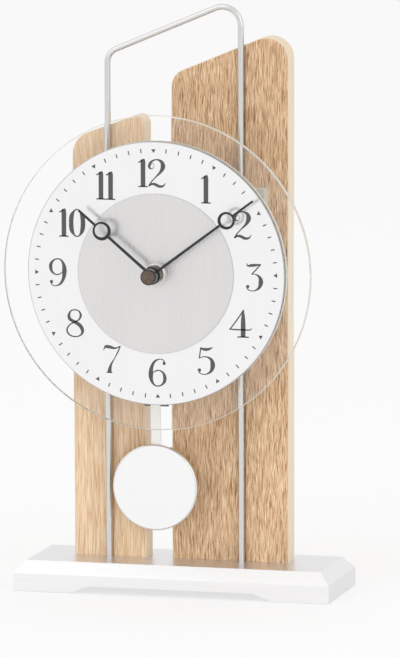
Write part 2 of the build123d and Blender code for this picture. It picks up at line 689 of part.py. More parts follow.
# Gears
def tooth_ring(teeth, module, phase, radius_shares, half_shares):
    """The closed outline of a gear, one tooth centred on the phase angle, in degrees."""
    pitch_radius = teeth * module / 2
    points = []
    for tooth in range(teeth):
        middle = math.radians(phase + 360 * tooth / teeth)
        flank = []
        for radius_share, half_share in zip(radius_shares, half_shares):
            radius = pitch_radius + radius_share * module
            flank.append((radius, half_share * module / radius))
        angles = [(radius, middle - half) for radius, half in flank]
        angles += [(radius, middle + half) for radius, half in reversed(flank)]
        points += [(radius * math.cos(a), radius * math.sin(a)) for radius, a in angles]
    with BuildLine() as outline:
        Polyline(*points, close=True)
    make_face(outline.edges())


def gear(place, depth, thick, teeth, module, phase, is_pinion=False):
    """One toothed disc, its front at a depth behind the inside of the case's front wall."""
    shares = (
        (PINION_RADIUS_SHARES, PINION_HALF_SHARES)
        if is_pinion
        else (TOOTH_RADIUS_SHARES, WHEEL_HALF_SHARES)
    )
    plane = upright(DIAL_X + place[0], CASE_INSIDE + depth, DIAL_Z + place[1])
    with BuildSketch(plane) as face:
        tooth_ring(teeth, module, phase, *shares)
    extrude(face.sketch, amount=-thick)


def shaft(place, radius, front, back):
    """A round shaft between two depths behind the inside of the case's front wall."""
    plane = upright(DIAL_X + place[0], CASE_INSIDE + front, DIAL_Z + place[1])
    with BuildSketch(plane) as section:
        Circle(radius)
    extrude(section.sketch, amount=front - back)


def meshed_phase(teeth_a, phase_a, teeth_b, bearing):
    """The phase of gear b, whose gap takes gear a's tooth where b lies at that bearing from a."""
    turned = ((bearing - phase_a) * teeth_a / 360) % 1
    return bearing + 180 - (1 / 2 - turned) * 360 / teeth_b


third_phase = meshed_phase(CENTRE_TEETH, 0, THIRD_PINION_TEETH, THIRD_BEARING)
second_phase = meshed_phase(THIRD_TEETH, 0, SECOND_PINION_TEETH, SECOND_BEARING)
step_phase = meshed_phase(SECOND_TEETH, 0, STEP_PINION_TEETH, STEP_BEARING)
rotor_phase = meshed_phase(STEP_TEETH, 0, ROTOR_TEETH, ROTOR_BEARING)
motion_phase = meshed_phase(CANNON_TEETH, 0, MOTION_TEETH, MOTION_BEARING)
hour_phase = meshed_phase(MOTION_PINION_TEETH, 0, HOUR_TEETH, MOTION_BEARING + 180)

pinion_lead = (PINION_THICK - WHEEL_THICK) / 2
plate_back = FRONT_PLATE_AT + PLATE_THICK
pivot_ends = (plate_back - PLATE_THICK / 2, REAR_PLATE_AT + PLATE_THICK / 2)
shoulders = (plate_back + SLIP / 2, REAR_PLATE_AT - SLIP / 2)

# The centre wheel slips between the arbor's shoulder and its collar when the time is set.
collar_front = LAYER_A + WHEEL_THICK + SLIP
with BuildPart() as minute_arbor:
    shaft(CENTRE_AT, MINUTE_ARBOR, ARBOR_FRONT - CASE_INSIDE, LAYER_A - SLIP)
    shaft(CENTRE_AT, THIN_ARBOR, LAYER_A - SLIP, shoulders[1])
    shaft(CENTRE_AT, CLUTCH_COLLAR, collar_front, collar_front + CLUTCH_THICK)
    shaft(CENTRE_AT, PIVOT_RADIUS, shoulders[1], pivot_ends[1])
    gear(CENTRE_AT, MOTION_LAYER, WHEEL_THICK, CANNON_TEETH, CANNON_MODULE, 0, True)
keep(minute_arbor, "minute_arbor")

with BuildPart() as centre_wheel:
    gear(CENTRE_AT, LAYER_A, WHEEL_THICK, CENTRE_TEETH, CENTRE_MODULE, 0)
    with BuildSketch(on_dial(CASE_INSIDE + LAYER_A)):
        Circle(THIN_ARBOR + RUN)
    extrude(amount=-WHEEL_THICK, mode=Mode.SUBTRACT)
keep(centre_wheel, "centre_wheel")


def train_arbor(place):
    """The thin arbor between the plates and its two pivots."""
    shaft(place, THIN_ARBOR, *shoulders)
    shaft(place, PIVOT_RADIUS, *pivot_ends)


TRAIN = {
    "third_wheel": (
        THIRD_AT,
        (LAYER_A - pinion_lead, PINION_THICK, THIRD_PINION_TEETH, CENTRE_MODULE, third_phase),
        (LAYER_B, WHEEL_THICK, THIRD_TEETH, THIRD_MODULE, 0),
    ),
    "second_wheel": (
        SECOND_AT,
        (LAYER_B - pinion_lead, PINION_THICK, SECOND_PINION_TEETH, THIRD_MODULE, second_phase),
        (LAYER_C, WHEEL_THICK, SECOND_TEETH, SECOND_MODULE, 0),
    ),
    "step_wheel": (
        STEP_AT,
        (LAYER_C - pinion_lead, PINION_THICK, STEP_PINION_TEETH, SECOND_MODULE, step_phase),
        (LAYER_B, WHEEL_THICK, STEP_TEETH, STEP_MODULE, 0),
    ),
}
for name, (place, pinion, wheel) in TRAIN.items():
    with BuildPart() as train_wheel:
        train_arbor(place)
        gear(place, *pinion, True)
        gear(place, *wheel)
    keep(train_wheel, name)

with BuildPart() as rotor:
    train_arbor(ROTOR_AT)
    gear(ROTOR_AT, LAYER_B - pinion_lead, PINION_THICK, ROTOR_TEETH, STEP_MODULE, rotor_phase, True)
    shaft(ROTOR_AT, MAGNET_RADIUS, LAYER_C + pinion_lead, LAYER_C + pinion_lead + MAGNET_THICK)
keep(rotor, "rotor")

knob_front = CASE_BACK + KNOB_GAP - CASE_INSIDE
with BuildPart() as motion_wheel:
    shaft(MOTION_AT, PIVOT_RADIUS, -CASE_WALL / 2 + RUN, HOUR_LAYER)
    shaft(MOTION_AT, MOTION_ARBOR, HOUR_LAYER, knob_front + KNOB_THICK / 2)
    gear(
        MOTION_AT, HOUR_LAYER, MOTION_LAYER - HOUR_LAYER, MOTION_PINION_TEETH, HOUR_MODULE, 0, True
    )
    gear(MOTION_AT, MOTION_LAYER, WHEEL_THICK, MOTION_TEETH, CANNON_MODULE, motion_phase)
keep(motion_wheel, "motion_wheel")

with BuildPart() as set_knob:
    knob_plane = upright(DIAL_X + MOTION_AT[0], CASE_INSIDE + knob_front, DIAL_Z + MOTION_AT[1])
    with BuildSketch(knob_plane):
        Circle(KNOB_RADIUS)
        with PolarLocations(KNOB_RADIUS, KNOB_FLUTES):
            Circle(KNOB_FLUTE, mode=Mode.SUBTRACT)
    extrude(amount=-KNOB_THICK)
    with BuildSketch(knob_plane):
        Circle(MOTION_ARBOR)
    extrude(amount=-KNOB_THICK / 2, mode=Mode.SUBTRACT)
keep(set_knob, "set_knob")

with BuildPart() as hour_wheel:
    gear(CENTRE_AT, HOUR_LAYER, WHEEL_THICK, HOUR_TEETH, HOUR_MODULE, hour_phase)
    shaft(CENTRE_AT, HOUR_PIPE, HOUR_FRONT - CASE_INSIDE, HOUR_LAYER + WHEEL_THICK)
    with BuildSketch(on_dial(CASE_INSIDE + HOUR_LAYER + WHEEL_THICK + OVERRUN)):
        Circle(MINUTE_ARBOR + RUN)
    extrude(
        amount=CASE_INSIDE + HOUR_LAYER + WHEEL_THICK + 2 * OVERRUN - HOUR_FRONT,
        mode=Mode.SUBTRACT,
    )
keep(hour_wheel, "hour_wheel")

# Plates that carry the wheels
for name, depth, has_pillars in (
    ("front_plate", FRONT_PLATE_AT, True),
    ("rear_plate", REAR_PLATE_AT, False),
):
    plate_x = DIAL_X + (PLATE_RIGHT - PLATE_LEFT) / 2
    plate_z = DIAL_Z + (PLATE_ABOVE - PLATE_BELOW) / 2
    with BuildPart() as plate:
        with BuildSketch(upright(plate_x, CASE_INSIDE + depth, plate_z)):
            RectangleRounded(PLATE_LEFT + PLATE_RIGHT, PLATE_BELOW + PLATE_ABOVE, PLATE_RADIUS)
        extrude(amount=-PLATE_THICK)
        if has_pillars:
            with BuildSketch(on_dial(CASE_INSIDE + plate_back)):
                with Locations(*pillar_places):
                    Circle(PILLAR_RADIUS)
            extrude(amount=plate_back - REAR_PLATE_AT)
        with BuildSketch(on_dial(CASE_INSIDE + depth - OVERRUN)):
            with Locations(*THIN_PLACES):
                Circle(PIVOT_RADIUS + RUN)
            with Locations(MOTION_AT):
                Circle(MOTION_ARBOR + RUN)
            Circle((MINUTE_ARBOR if has_pillars else PIVOT_RADIUS) + RUN)
        extrude(amount=-PLATE_THICK - 2 * OVERRUN, mode=Mode.SUBTRACT)
    keep(plate, name)

# Step motor, board and drive coil
coil_x = STATOR_RIGHT - STATOR_ARM / 2
coil_z = (STATOR_BELOW + 2 * STATOR_ARM + STATOR_HIGH - STATOR_ARM) / 2
with BuildPart() as stator:
    with BuildSketch(on_dial(CASE_INSIDE + STATOR_AT)):
        with Locations(((STATOR_LEFT + STATOR_RIGHT) / 2, stator_low_z)):
            Rectangle(STATOR_RIGHT - STATOR_LEFT, 2 * STATOR_ARM)
        with Locations((coil_x, (STATOR_BELOW + STATOR_HIGH) / 2)):
            Rectangle(STATOR_ARM, STATOR_HIGH - STATOR_BELOW)
        with Locations((stator_high_x, stator_high_z)):
            Rectangle(4 * STATOR_ARM, STATOR_ARM)
        with Locations(ROTOR_AT):
            Circle(MAGNET_RADIUS + SLIP, mode=Mode.SUBTRACT)
    extrude(amount=-STATOR_THICK)
keep(stator, "stator")

with BuildPart() as motor_coil:
    with BuildSketch(Plane.XY.offset(DIAL_Z + coil_z - COIL_LENGTH / 2)):
        with Locations((DIAL_X + coil_x, CASE_INSIDE + STATOR_AT + STATOR_THICK / 2)):
            Circle(COIL_RADIUS)
            Rectangle(STATOR_ARM + 2 * RUN, STATOR_THICK + 2 * RUN, mode=Mode.SUBTRACT)
    extrude(amount=COIL_LENGTH)
keep(motor_coil, "motor_coil")

with BuildPart() as circuit_board:
    with BuildSketch(on_dial(CASE_INSIDE + BOARD_AT)):
        with Locations((board_x, board_z)):
            Rectangle(BOARD_WIDTH, BOARD_HEIGHT)
    extrude(amount=-BOARD_THICK)
    with BuildSketch(on_dial(CASE_INSIDE + BOARD_AT + BOARD_THICK)):
        with Locations((board_x, board_z)):
            Rectangle(CHIP_SIZE, CHIP_SIZE)
        with Locations((board_x, board_z + 2 * CHIP_SIZE)):
            Rectangle(CHIP_SIZE, CHIP_SIZE / 2)
    extrude(amount=-CHIP_THICK)
keep(circuit_board, "circuit_board")

coil_place = (PENDULUM_X - DIAL_X, PIVOT_HEIGHT - DRIVE_MAGNET_AT - DIAL_Z)
with BuildPart() as drive_coil:
    with BuildSketch(on_dial(CASE_BACK - CASE_WALL)):
        with Locations(coil_place):
            Circle(DRIVE_COIL)
            Circle(DRIVE_COIL_HOLE, mode=Mode.SUBTRACT)
    extrude(amount=DRIVE_COIL_THICK)
keep(drive_coil, "drive_coil")


# Dial, glass and what clamps them
def disc(name, back, thick, radius, hole, edge=0):
    """A round plate on the dial's axis with a centre hole and, if wanted, bevelled rims."""
    with BuildPart() as plate:
        with BuildSketch(on_dial(back)):
            Circle(radius)
            Circle(hole, mode=Mode.SUBTRACT)
        extrude(amount=thick)
        if edge:
            rims = plate.edges().filter_by(GeomType.CIRCLE).group_by(SortBy.RADIUS)[-1]
            chamfer(rims, edge)
    keep(plate, name)


disc("dial_backing", CASE_FRONT, BACKING_THICK, BACKING_RADIUS, BUSH_RADIUS + RUN)
disc("glass_disc", GLASS_BACK, GLASS_THICK, GLASS_RADIUS, BUSH_RADIUS + SLIP, GLASS_EDGE)
disc("dial_plate", GLASS_FRONT, DIAL_THICK, DIAL_RADIUS, BUSH_RADIUS + RUN)
disc("dial_centre", DIAL_FRONT, CENTRE_THICK, CENTRE_RADIUS, BUSH_RADIUS + RUN)
disc("fixing_washer", CENTRE_FRONT, WASHER_THICK, WASHER_RADIUS, BUSH_RADIUS + RUN)

with BuildPart() as fixing_nut:
    with BuildSketch(on_dial(CENTRE_FRONT - WASHER_THICK)):
        Circle(NUT_RADIUS)
        Circle(BUSH_RADIUS + RUN, mode=Mode.SUBTRACT)
    extrude(amount=NUT_THICK)
    outer = fixing_nut.edges().filter_by(GeomType.CIRCLE).sort_by(Axis.Y)[:2]
    chamfer(outer.sort_by(SortBy.RADIUS)[-1], WASHER_THICK)
keep(fixing_nut, "fixing_nut")

with BuildPart() as centre_bushing:
    with BuildSketch(on_dial(CASE_INSIDE)):
        Circle(BUSH_FLANGE)
    extrude(amount=CASE_WALL / 2)
    with BuildSketch(on_dial(CASE_INSIDE)):
        Circle(BUSH_RADIUS)
    extrude(amount=CASE_INSIDE - BUSH_FRONT)
    with BuildSketch(on_dial(CASE_INSIDE)):
        Circle(HOUR_PIPE + RUN)
    extrude(amount=CASE_INSIDE - BUSH_FRONT, mode=Mode.SUBTRACT)
keep(centre_bushing, "centre_bushing")


# Hands
def ring_hand(name, back, collet, bore, length, ring_at, ring, hole, hole_out, stem, angle):
    """A flat hand with a ring near its end, on a round collet, turned clockwise from twelve."""
    way = math.radians(angle)
    along_x = (math.cos(way), 0, -math.sin(way))
    turn = Plane(origin=(DIAL_X, back, DIAL_Z), x_dir=along_x, z_dir=(0, -1, 0))
    root, tip = stem
    with BuildPart() as hand:
        with BuildSketch(turn):
            with BuildLine():
                Polyline(
                    (-root / 2, 0), (root / 2, 0), (tip / 2, length), (-tip / 2, length), close=True
                )
            make_face()
            with Locations((0, ring_at)):
                Circle(ring)
            with Locations((0, ring_at + hole_out)):
                Circle(hole, mode=Mode.SUBTRACT)
        extrude(amount=HAND_THICK)
        with BuildSketch(turn):
            Circle(collet)
        extrude(amount=COLLET_THICK)
        with BuildSketch(turn):
            Circle(bore)
        extrude(amount=COLLET_THICK, mode=Mode.SUBTRACT)
    keep(hand, name)


ring_hand(
    "hour_hand",
    HOUR_BACK,
    HOUR_COLLET,
    HOUR_PIPE,
    HOUR_LENGTH,
    HOUR_RING_AT,
    HOUR_RING,
    HOUR_HOLE,
    HOUR_HOLE_OUT,
    HOUR_STEM,
    HOUR_ANGLE,
)
ring_hand(
    "minute_hand",
    MINUTE_BACK,
    MINUTE_COLLET,
    MINUTE_ARBOR,
    MINUTE_LENGTH,
    MINUTE_RING_AT,
    MINUTE_RING,
    MINUTE_HOLE,
    MINUTE_HOLE_OUT,
    MINUTE_STEM,
    MINUTE_ANGLE,
)

with BuildPart() as hand_boss:
    with BuildSketch(on_dial(MINUTE_FRONT)):
        Circle(HAND_BOSS_RADIUS)
    extrude(amount=HAND_BOSS_DEPTH)
    chamfer(hand_boss.edges().sort_by(Axis.Y)[0], HAND_BOSS_EDGE)
    with BuildSketch(on_dial(MINUTE_FRONT)):
        Circle(MINUTE_ARBOR)
    extrude(amount=HAND_BOSS_GRIP, mode=Mode.SUBTRACT)
keep(hand_boss, "hand_boss")


# Pendulum
def on_pivot(y):
    """The upright plane at depth y whose origin lies on the pendulum's pivot."""
    return upright(PENDULUM_X, y, PIVOT_HEIGHT)


with BuildPart() as pivot_pin:
    with BuildSketch(on_pivot(GUARD_FRONT + GUARD_THICK)):
        Circle(PIN_RADIUS)
    extrude(amount=GUARD_FRONT + GUARD_THICK - CASE_BACK + CASE_WALL)
keep(pivot_pin, "pivot_pin")

hanger_bottom = HANGER_LENGTH - HANGER_WIDTH / 2
strip_top = hanger_bottom - STRIP_LAP
rivet_places = [
    (0, -strip_top - STRIP_LAP * share_of_lap) for share_of_lap in (1 / 4, 3 / 4)
]
with BuildPart() as hanger:
    with BuildSketch(on_pivot(HANGER_BACK)):
        with Locations((0, -(hanger_bottom - HANGER_WIDTH / 2) / 2)):
            SlotCenterToCenter(hanger_bottom - HANGER_WIDTH / 2, HANGER_WIDTH, rotation=90)
        Circle(PIN_RADIUS + RUN, mode=Mode.SUBTRACT)
        with Locations(*rivet_places):
            Circle(RIVET_RADIUS, mode=Mode.SUBTRACT)
    extrude(amount=HANGER_THICK)
keep(hanger, "hanger")

with BuildPart() as drive_magnet:
    with BuildSketch(on_pivot(STRIP_BACK)):
        with Locations((0, -DRIVE_MAGNET_AT + DRIVE_MAGNET)):
            Circle(DRIVE_MAGNET)
    extrude(amount=DRIVE_MAGNET_THICK)
keep(drive_magnet, "drive_magnet")

strip_low = PIVOT_HEIGHT - BOB_HEIGHT + CLIP_HEIGHT / 2
with BuildPart() as pendulum_strip:
    with BuildSketch(on_pivot(STRIP_BACK)):
        with Locations((0, -(strip_top + strip_low) / 2)):
            Rectangle(STRIP_WIDTH, strip_low - strip_top)
        with Locations(*rivet_places):
            Circle(RIVET_RADIUS, mode=Mode.SUBTRACT)
    extrude(amount=STRIP_THICK)
keep(pendulum_strip, "pendulum_strip")

with BuildPart() as hanger_rivets:
    with BuildSketch(on_pivot(HANGER_BACK)):
        with Locations(*rivet_places):
            Circle(RIVET_RADIUS)
    extrude(amount=HANGER_THICK + STRIP_THICK)
    with BuildSketch(on_pivot(HANGER_BACK + RIVET_HEAD)):
        with Locations(*rivet_places):
            Circle(2 * RIVET_RADIUS)
    extrude(amount=RIVET_HEAD)
keep(hanger_rivets, "hanger_rivets")

with BuildPart() as bob:
    with BuildSketch(on_pivot(STRIP_FRONT)):
        with Locations((0, BOB_HEIGHT - PIVOT_HEIGHT)):
            Circle(BOB_RADIUS)
    extrude(amount=BOB_THICK)
    chamfer(bob.edges().sort_by(Axis.Y)[0], BOB_BEVEL)
keep(bob, "bob")

with BuildPart() as bob_clip:
    clip_back = STRIP_BACK + CLIP_THICK
    with BuildSketch(on_pivot(clip_back)):
        with Locations((0, BOB_HEIGHT - PIVOT_HEIGHT)):
            RectangleRounded(CLIP_WIDTH, CLIP_HEIGHT, CLIP_THICK)
    extrude(amount=clip_back - STRIP_FRONT)
    with BuildSketch(on_pivot(STRIP_BACK)):
        with Locations((0, BOB_HEIGHT - PIVOT_HEIGHT)):
            Rectangle(STRIP_WIDTH, CLIP_HEIGHT + OVERRUN)
    extrude(amount=STRIP_THICK, mode=Mode.SUBTRACT)
keep(bob_clip, "bob_clip")

with BuildPart() as pendulum_guard:
    guard_top = PIVOT_HEIGHT + GUARD_RISE
    guard_length = guard_top - DIAL_Z + GUARD_BELOW
    with BuildSketch(on_pivot(GUARD_FRONT + GUARD_THICK)):
        with Locations((0, GUARD_RISE - guard_length / 2)):
            Rectangle(GUARD_WIDTH, guard_length)
        Circle(PIN_RADIUS, mode=Mode.SUBTRACT)
        with Locations((0, -(DRIVE_MAGNET_AT + strip_top) / 2)):
            Rectangle(GUARD_SLOT, strip_top, mode=Mode.SUBTRACT)
    extrude(amount=GUARD_THICK)
    # The roof over the hanger and the tab that is screwed to the case
    with BuildSketch(Plane.XY.offset(guard_top)):
        with Locations((PENDULUM_X, (GUARD_FRONT + GUARD_THICK + CASE_BACK) / 2)):
            Rectangle(GUARD_WIDTH, GUARD_FRONT + GUARD_THICK - CASE_BACK)
    extrude(amount=GUARD_THICK)
    with BuildSketch(on_pivot(CASE_BACK + GUARD_THICK)):
        with Locations((0, GUARD_RISE + GUARD_THICK + GUARD_TAB / 2)):
            Rectangle(GUARD_WIDTH, GUARD_TAB)
    extrude(amount=GUARD_THICK)
    with BuildSketch(on_dial(CASE_BACK)):
        with Locations(*guard_screw_places):
            Circle(GUARD_SCREW[0] + RUN)
    extrude(amount=-GUARD_THICK, mode=Mode.SUBTRACT)
keep(pendulum_guard, "pendulum_guard")

with BuildPart() as guard_screws:
    shank, head, head_depth, length = GUARD_SCREW
    with BuildSketch(on_dial(CASE_BACK + GUARD_THICK)):
        with Locations(*guard_screw_places):
            Circle(shank)
    extrude(amount=length)
    with BuildSketch(on_dial(CASE_BACK + GUARD_THICK + head_depth)):
        with Locations(*guard_screw_places):
            Circle(head)
    extrude(amount=head_depth)
keep(guard_screws, "guard_screws")
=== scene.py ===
"""Looks of the desk pendulum clock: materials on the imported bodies, the dial's printing, softened
edges, the studio and the camera. Metres, Z up, the dial faces -Y."""

import json
import math

import bmesh
import bpy
from mathutils import Matrix, Vector


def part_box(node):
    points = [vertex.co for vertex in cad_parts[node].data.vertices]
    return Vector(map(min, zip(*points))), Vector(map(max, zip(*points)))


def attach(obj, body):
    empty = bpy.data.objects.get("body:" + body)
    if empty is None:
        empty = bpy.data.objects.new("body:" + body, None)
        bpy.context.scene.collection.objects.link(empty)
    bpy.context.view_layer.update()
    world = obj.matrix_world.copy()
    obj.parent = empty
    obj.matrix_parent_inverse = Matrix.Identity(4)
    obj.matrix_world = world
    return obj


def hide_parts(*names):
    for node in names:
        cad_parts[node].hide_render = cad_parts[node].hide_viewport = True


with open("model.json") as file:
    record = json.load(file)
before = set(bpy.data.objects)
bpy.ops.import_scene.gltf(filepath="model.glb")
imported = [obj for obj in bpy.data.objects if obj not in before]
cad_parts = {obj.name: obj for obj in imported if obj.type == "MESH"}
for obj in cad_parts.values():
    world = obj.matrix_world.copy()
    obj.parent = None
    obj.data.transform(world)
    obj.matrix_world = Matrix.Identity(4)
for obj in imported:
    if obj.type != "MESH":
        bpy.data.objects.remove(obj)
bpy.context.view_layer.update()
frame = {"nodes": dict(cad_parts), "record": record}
nodes = frame["nodes"]
MM = 0.001


# Node helpers
def add_node(tree, kind, **values):
    """A node with its properties or its input sockets set; an input's key is its name with _ for a space."""
    made = tree.nodes.new("ShaderNode" + kind)
    for key, value in values.items():
        if hasattr(made, key):
            setattr(made, key, value)
        else:
            made.inputs[key.replace("_", " ")].default_value = value
    return made


def link(tree, source, target):
    tree.links.new(source, target)


def base_material(name, metallic, roughness, **sockets):
    """A Principled material and its tree, its constants set on the shader's own sockets."""
    material = bpy.data.materials.new(name)
    material.use_nodes = True
    tree = material.node_tree
    shader = tree.nodes["Principled BSDF"]
    shader.inputs["Metallic"].default_value = metallic
    shader.inputs["Roughness"].default_value = roughness
    for key, value in sockets.items():
        shader.inputs[key.replace("_", " ")].default_value = value
    return material, tree, shader


def stretched_noise(tree, scale, detail, roughness=0.55, distortion=0.0, shift=None):
    """Noise on the piece's own coordinates, with a scale in repeats per metre along each axis."""
    place = add_node(tree, "TexCoord")
    mapping = add_node(tree, "Mapping")
    mapping.inputs["Scale"].default_value = scale
    link(tree, place.outputs["Object"], mapping.inputs["Vector"])
    noise = add_node(tree, "TexNoise", Scale=1.0, Detail=detail, Roughness=roughness, Distortion=distortion)
    if shift is None:
        link(tree, mapping.outputs["Vector"], noise.inputs["Vector"])
    else:
        moved = add_node(tree, "VectorMath", operation="ADD")
        link(tree, mapping.outputs["Vector"], moved.inputs[0])
        link(tree, shift, moved.inputs[1])
        link(tree, moved.outputs["Vector"], noise.inputs["Vector"])
    return noise.outputs["Fac"]


def ramp(tree, fac, stops):
    """A colour ramp through (position, colour) stops."""
    made = add_node(tree, "ValToRGB")
    band = made.color_ramp
    band.elements[0].position, band.elements[0].color = stops[0][0], (*stops[0][1], 1)
    band.elements[1].position, band.elements[1].color = stops[-1][0], (*stops[-1][1], 1)
    for position, colour in stops[1:-1]:
        band.elements.new(position).color = (*colour, 1)
    link(tree, fac, made.inputs["Fac"])
    return made.outputs["Color"]


NOISE_LOW, NOISE_HIGH = 0.3, 0.7  # between which nearly all of a noise lies


def spread(tree, fac, low, high):
    """Maps a noise to a range of values."""
    made = add_node(tree, "MapRange")
    for key, value in (("From Min", NOISE_LOW), ("From Max", NOISE_HIGH), ("To Min", low), ("To Max", high)):
        made.inputs[key].default_value = value
    link(tree, fac, made.inputs["Value"])
    return made.outputs["Result"]


def bumped(tree, shader, height, distance, strength=1.0):
    bump = add_node(tree, "Bump", Strength=strength, Distance=distance)
    link(tree, height, bump.inputs["Height"])
    link(tree, bump.outputs["Normal"], shader.inputs["Normal"])


def finish(name, colour, metallic, roughness, swing, scale, bump=0.0, detail=3.0, rough_swing=0.06,
           **sockets):
    """A plain finish whose tone, gloss and surface vary a little with a noise of the given scale."""
    material, tree, shader = base_material(name, metallic, roughness, **sockets)
    fac = stretched_noise(tree, scale, detail)
    dark = tuple(c * (1 - swing) for c in colour)
    light = tuple(min(1.0, c * (1 + swing)) for c in colour)
    link(tree, ramp(tree, fac, [(0.32, dark), (0.68, light)]), shader.inputs["Base Color"])
    gloss = spread(tree, fac, roughness - rough_swing, roughness + rough_swing)
    link(tree, gloss, shader.inputs["Roughness"])
    if bump:
        bumped(tree, shader, fac, bump)
    return material


def wood(name, dark, middle, light, fibre, length, wander, lean, cut, relief):
    """Upright chiselled oak: two sets of fibres that lean either way, bright ridges and dark pores. Fibre
    width and length, wander and relief are in metres, lean is a slope and cut the strength of the pores."""
    material, tree, shader = base_material(name, 0.0, 0.55, Specular_IOR_Level=0.3)
    wave = stretched_noise(tree, (70, 70, 60), 2.0)
    broad = stretched_noise(tree, (30, 30, 6), 2.0)
    place = add_node(tree, "TexCoord")
    axes = add_node(tree, "SeparateXYZ")
    link(tree, place.outputs["Object"], axes.inputs["Vector"])
    sets = []
    for side, size in ((1, 1.0), (-1, 0.8)):
        slant = add_node(tree, "Math", operation="MULTIPLY_ADD")
        link(tree, axes.outputs["Z"], slant.inputs[0])
        slant.inputs[1].default_value = side * lean / (fibre * size)
        link(tree, spread(tree, wave, -wander / fibre, wander / fibre), slant.inputs[2])
        shift = add_node(tree, "CombineXYZ")
        link(tree, slant.outputs[0], shift.inputs["X"])
        across = 1 / (fibre * size)
        scale = (across, across, 1 / (length * size))
        sets.append(stretched_noise(tree, scale, 3.0, 0.6, 0.25, shift.outputs["Vector"]))
    ridge = add_node(tree, "Math", operation="MAXIMUM")
    link(tree, sets[0], ridge.inputs[0])
    link(tree, sets[1], ridge.inputs[1])
    valley = add_node(tree, "Math", operation="MINIMUM")
    link(tree, sets[0], valley.inputs[0])
    link(tree, sets[1], valley.inputs[1])
    half_light = tuple((m + h) / 2 for m, h in zip(middle, light))
    grain = ramp(tree, ridge.outputs[0], [(0.44, middle), (0.58, half_light), (0.66, light)])
    pores = ramp(tree, valley.outputs[0], [(0.34, dark), (0.43, (1, 1, 1))])
    shade = ramp(tree, broad, [(0.34, (0.90, 0.89, 0.88)), (0.66, (1.06, 1.06, 1.06))])
    toned = add_node(tree, "Mix", data_type="RGBA", blend_type="MULTIPLY")
    toned.inputs[0].default_value = 1.0
    link(tree, grain, toned.inputs[6])
    link(tree, shade, toned.inputs[7])
    pored = add_node(tree, "Mix", data_type="RGBA", blend_type="MULTIPLY")
    pored.inputs[0].default_value = cut
    link(tree, toned.outputs[2], pored.inputs[6])
    link(tree, pores, pored.inputs[7])
    link(tree, pored.outputs[2], shader.inputs["Base Color"])
    link(tree, spread(tree, ridge.outputs[0], 0.62, 0.46), shader.inputs["Roughness"])
    both = add_node(tree, "Math", operation="ADD")
    link(tree, ridge.outputs[0], both.inputs[0])
    link(tree, valley.outputs[0], both.inputs[1])
    bumped(tree, shader, both.outputs[0], relief, 0.5)
    return material


def brushed(name, colour, roughness, along, anisotropic, metallic, bump, line, clouds, rough_swing=0.05,
            **sockets):
    """Metal brushed along one axis: fine lines in its tone, its gloss and its surface."""
    material, tree, shader = base_material(name, metallic, roughness, Anisotropic=anisotropic, **sockets)
    fine = stretched_noise(tree, along, 4.0, 0.7)
    cloud = stretched_noise(tree, (40, 40, 12), 2.0)
    dark = tuple(c * (1 - line) for c in colour)
    light = tuple(min(1, c * (1 + line)) for c in colour)
    lines = ramp(tree, fine, [(0.30, dark), (0.70, light)])
    soft = ramp(tree, cloud, [(0.35, (1 - clouds,) * 3), (0.65, (1.0, 1.0, 1.0))])
    both = add_node(tree, "Mix", data_type="RGBA", blend_type="MULTIPLY")
    both.inputs[0].default_value = 1.0
    link(tree, lines, both.inputs[6])
    link(tree, soft, both.inputs[7])
    link(tree, both.outputs[2], shader.inputs["Base Color"])
    gloss = spread(tree, fine, roughness - rough_swing, roughness + rough_swing)
    link(tree, gloss, shader.inputs["Roughness"])
    bumped(tree, shader, fine, bump, 0.4)
    return material


oak_right = wood("oak_right", (0.40, 0.28, 0.18), (0.60, 0.342, 0.172), (1.00, 0.78, 0.53),
                 fibre=0.0006, length=0.012, wander=0.0006, lean=0.05, cut=0.9, relief=0.0004)
oak_left = wood("oak_left", (0.58, 0.46, 0.34), (0.80, 0.53, 0.315), (1.00, 0.82, 0.585),
                fibre=0.0008, length=0.024, wander=0.0003, lean=0.02, cut=0.6, relief=0.0002)
# After its colour, a finish has metallic, roughness, swing of tone, noise repeats per metre and bump in
# metres. A brushed metal has roughness, line repeats per metre, anisotropic, metallic and bump.
cream_edge = finish("cream_edge", (0.83, 0.68, 0.50), 0.0, 0.5, 0.05, (500, 500, 60), 0.00002)
plinth_silver = brushed("plinth_silver", (0.92, 0.915, 0.915), 0.30, (14, 900, 900), 0.0, 0.9, 0.000001,
                        line=0.02, clouds=0.0, rough_swing=0.03, Specular_Tint=(0.80, 0.79, 0.80, 1.0))
steel = finish("steel_rod", (0.68, 0.675, 0.665), 1.0, 0.16, 0.03, (1200, 1200, 20), 0.000004)
zinc = finish("zinc", (0.58, 0.59, 0.61), 1.0, 0.32, 0.08, (900, 900, 900), 0.00001)
grey = finish("grey_block", (0.68, 0.645, 0.58), 0.0, 0.5, 0.05, (700, 700, 700), 0.00002)
cream = finish("cream_case", (0.84, 0.77, 0.66), 0.0, 0.42, 0.03, (800, 800, 800), 0.00001)
felt = finish("felt", (0.035, 0.035, 0.04), 0.0, 0.95, 0.5, (2500, 2500, 2500), 0.0001, Sheen_Weight=0.4)
battery_wrap = finish("battery_wrap", (0.02, 0.02, 0.022), 0.1, 0.3, 0.3, (40, 300, 300), 0.00001)
spring = finish("spring_steel", (0.55, 0.55, 0.56), 1.0, 0.28, 0.06, (200, 900, 900), 0.000005)
brass = finish("brass", (0.72, 0.52, 0.22), 1.0, 0.25, 0.06, (900, 300, 900), 0.000005)
gear_white = finish("gear_white", (0.80, 0.78, 0.70), 0.0, 0.4, 0.04, (700, 700, 700), 0.00001,
                    Subsurface_Weight=0.1)
plate_grey = finish("plate_grey", (0.035, 0.037, 0.042), 0.0, 0.45, 0.1, (900, 900, 900), 0.00002)
black = finish("black_plastic", (0.012, 0.012, 0.012), 0.0, 0.4, 0.2, (900, 900, 900), 0.00002)
